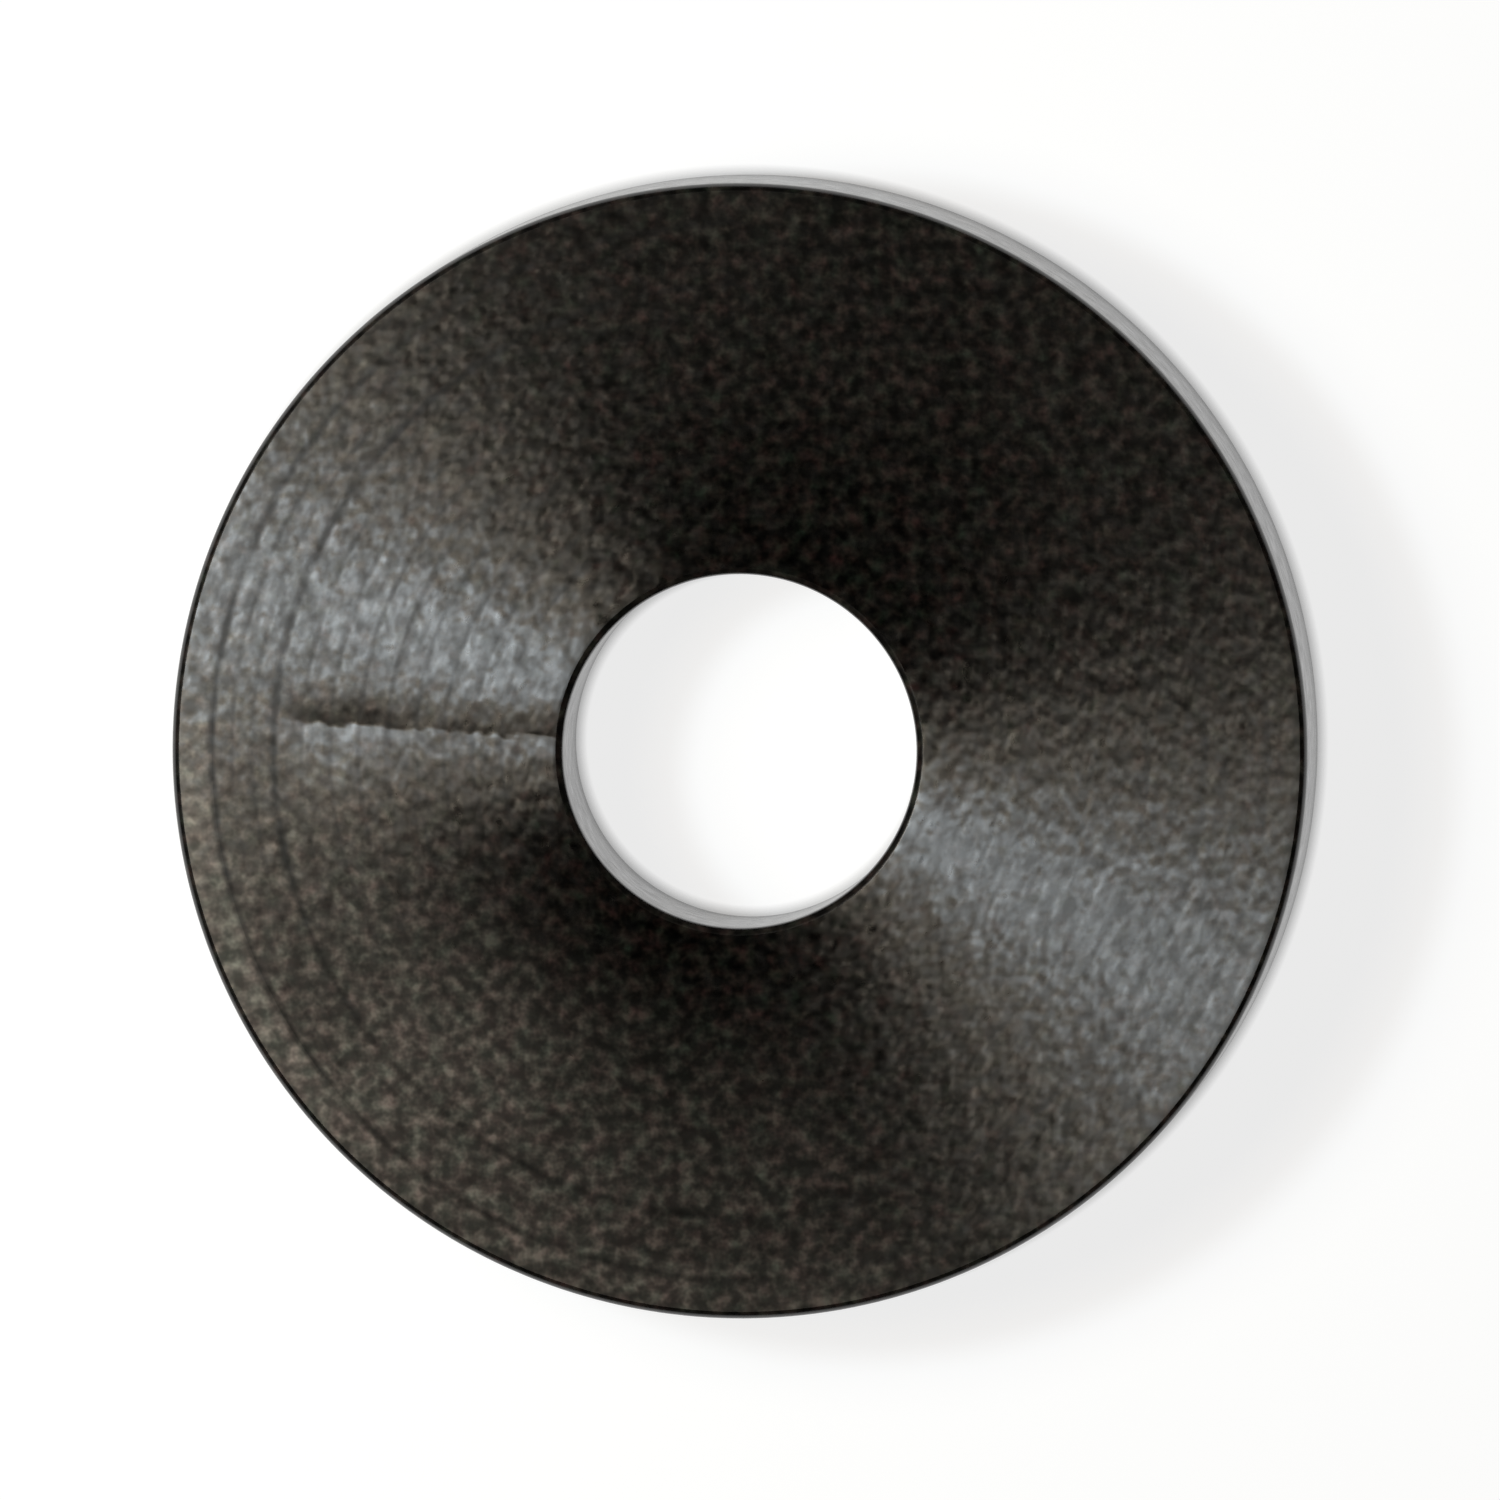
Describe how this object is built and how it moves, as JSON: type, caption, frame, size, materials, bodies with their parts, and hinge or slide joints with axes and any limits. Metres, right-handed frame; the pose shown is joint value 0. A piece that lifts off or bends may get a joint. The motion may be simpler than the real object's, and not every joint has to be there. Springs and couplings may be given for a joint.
{
  "type": "faucet washer",
  "caption": "Flat black rubber faucet washer: a thick ring with a plain bore, fine turned rings on both faces and a shallow knit line across one face.",
  "frame": {"origin": "centre of the lower face, where the bore's axis meets the surface that the washer lies on", "axes": "+Z along the bore's axis, out of the face with the knit line; the knit line lies towards -X"},
  "size_m": [0.0151, 0.015, 0.0032],
  "materials": {
    "black_rubber": "moulded black rubber with fine concentric turned rings and a satin sheen"
  },
  "bodies": {
    "root": {"washer": "black_rubber"}
  },
  "joints": []
}
